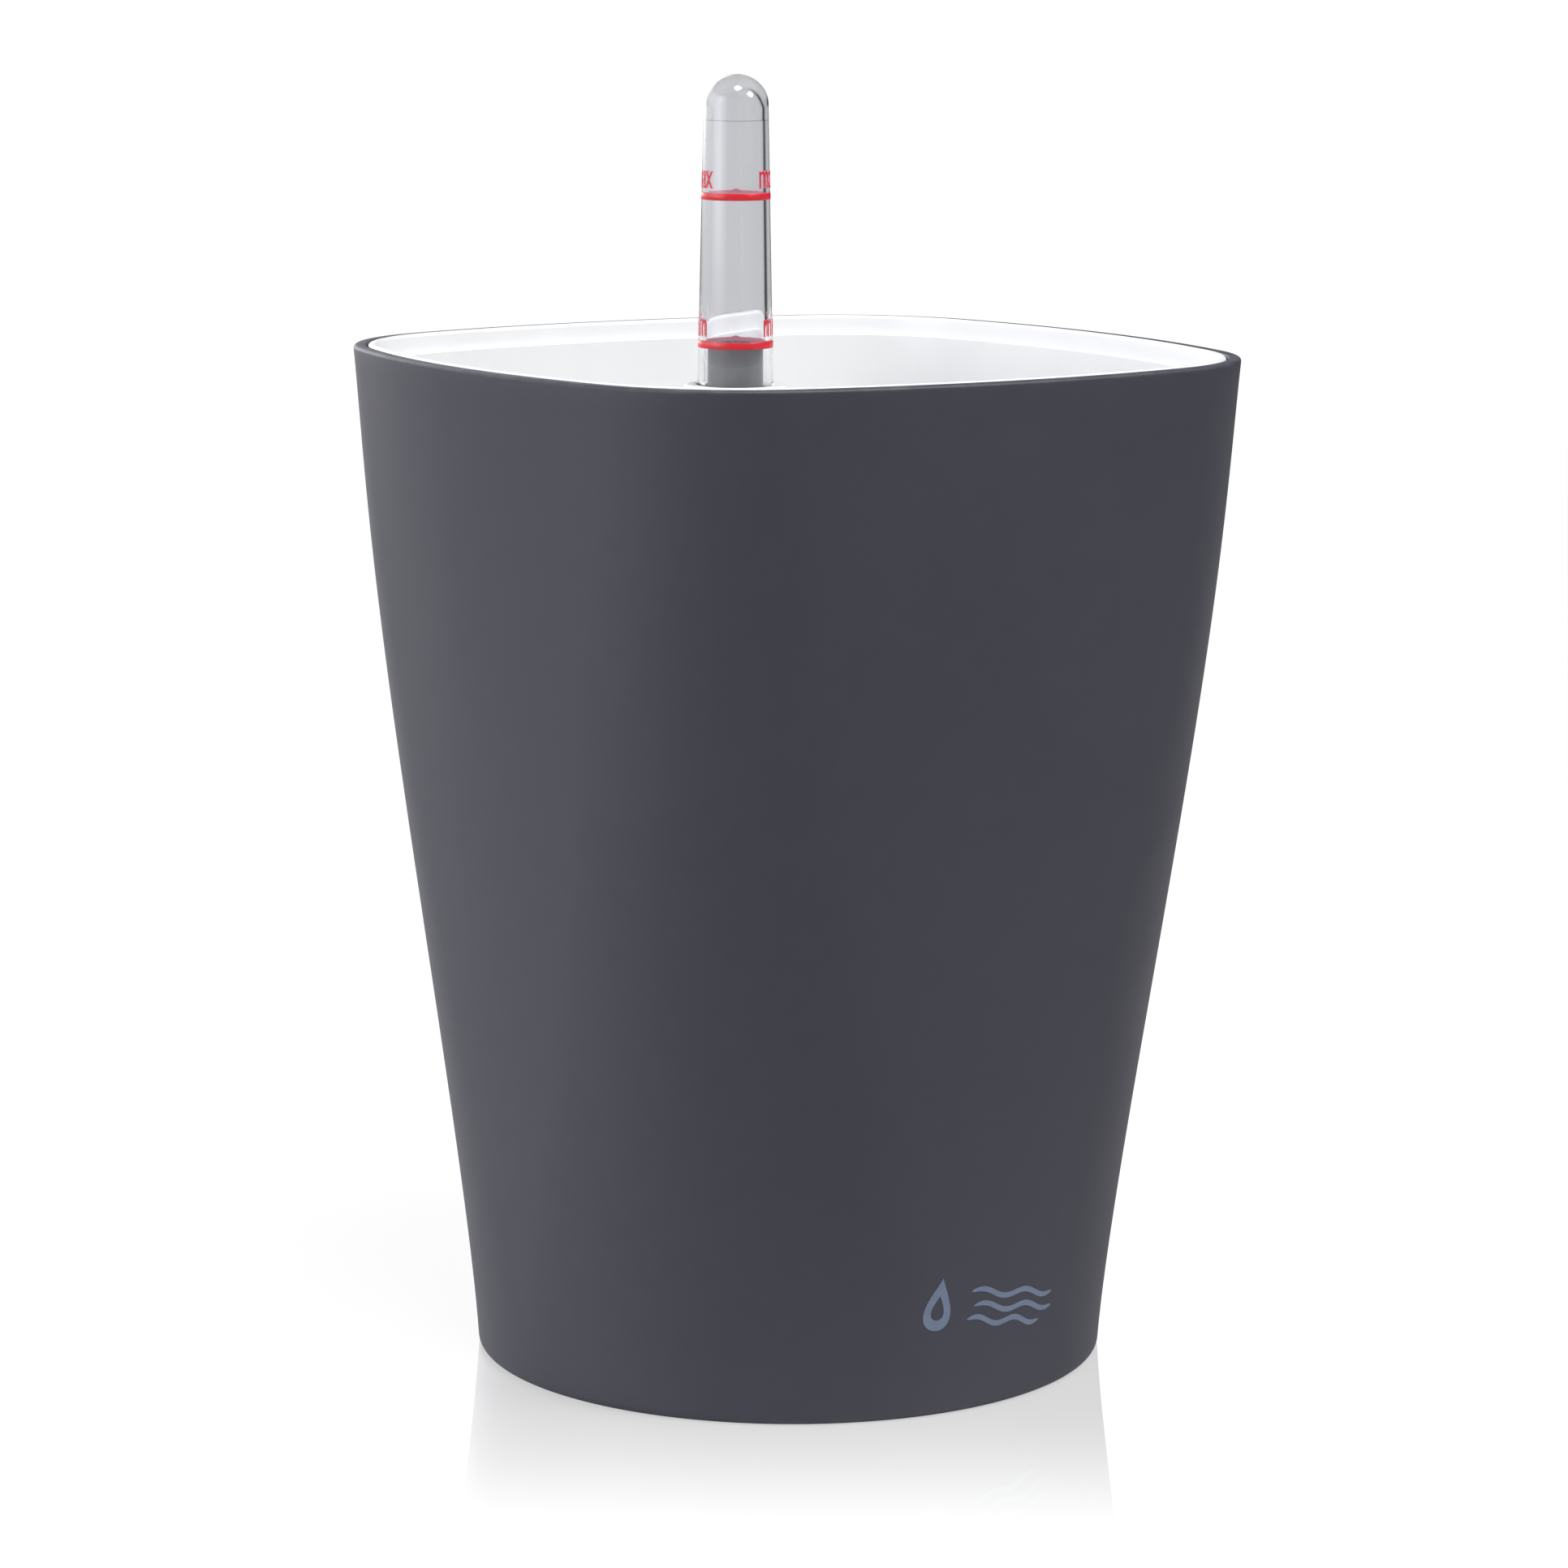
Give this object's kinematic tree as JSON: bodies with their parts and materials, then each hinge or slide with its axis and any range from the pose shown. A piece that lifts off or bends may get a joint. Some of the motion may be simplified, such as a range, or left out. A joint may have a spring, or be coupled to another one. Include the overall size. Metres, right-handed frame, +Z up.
{
  "type": "self watering planter",
  "caption": "Tapered pot with round foot and rounded square mouth, lift-out planting liner, slotted wicking basket and float water level indicator.",
  "frame": {"origin": "centre of the foot, on the surface that the planter stands on", "axes": "+Z up; the pot's sides face +X, -X, +Y and -Y; the water level indicator stands on the diagonal towards (-X, -Y)"},
  "size_m": [0.14, 0.14, 0.2296],
  "materials": {
    "pot_plastic": "fine matt, moulded",
    "liner_plastic": "satin white",
    "basket_plastic": "satin white",
    "clear_plastic": "clear, polished",
    "indicator_plastic": "satin white",
    "float_plastic": "satin grey",
    "print_red": "printed ink on the sight tube",
    "print_mark": "printed ink on the pot"
  },
  "bodies": {
    "pot": {"outer_pot": "pot_plastic"},
    "liner": {"inner_pot": "liner_plastic"},
    "basket": {"wicking_basket": "basket_plastic"},
    "indicator": {"indicator_sight_tube": "clear_plastic", "indicator_shaft": "indicator_plastic", "indicator_foot": "indicator_plastic"},
    "float": {"float_rod": "float_plastic", "float_plug": "float_plastic"}
  },
  "joints": [
    {"name": "liner_lift", "type": "slide", "parent": "pot", "child": "liner", "axis": [0, 0, 1], "range_m": [0, 0.18]},
    {"name": "basket_lift", "type": "slide", "parent": "liner", "child": "basket", "axis": [0, 0, 1], "range_m": [0, 0.175]},
    {"name": "indicator_pull", "type": "slide", "parent": "liner", "child": "indicator", "axis": [0, 0, 1], "range_m": [0, 0.18]},
    {"name": "float_rise", "type": "slide", "parent": "indicator", "child": "float", "axis": [0, 0, 1], "range_m": [0, 0.028]}
  ]
}
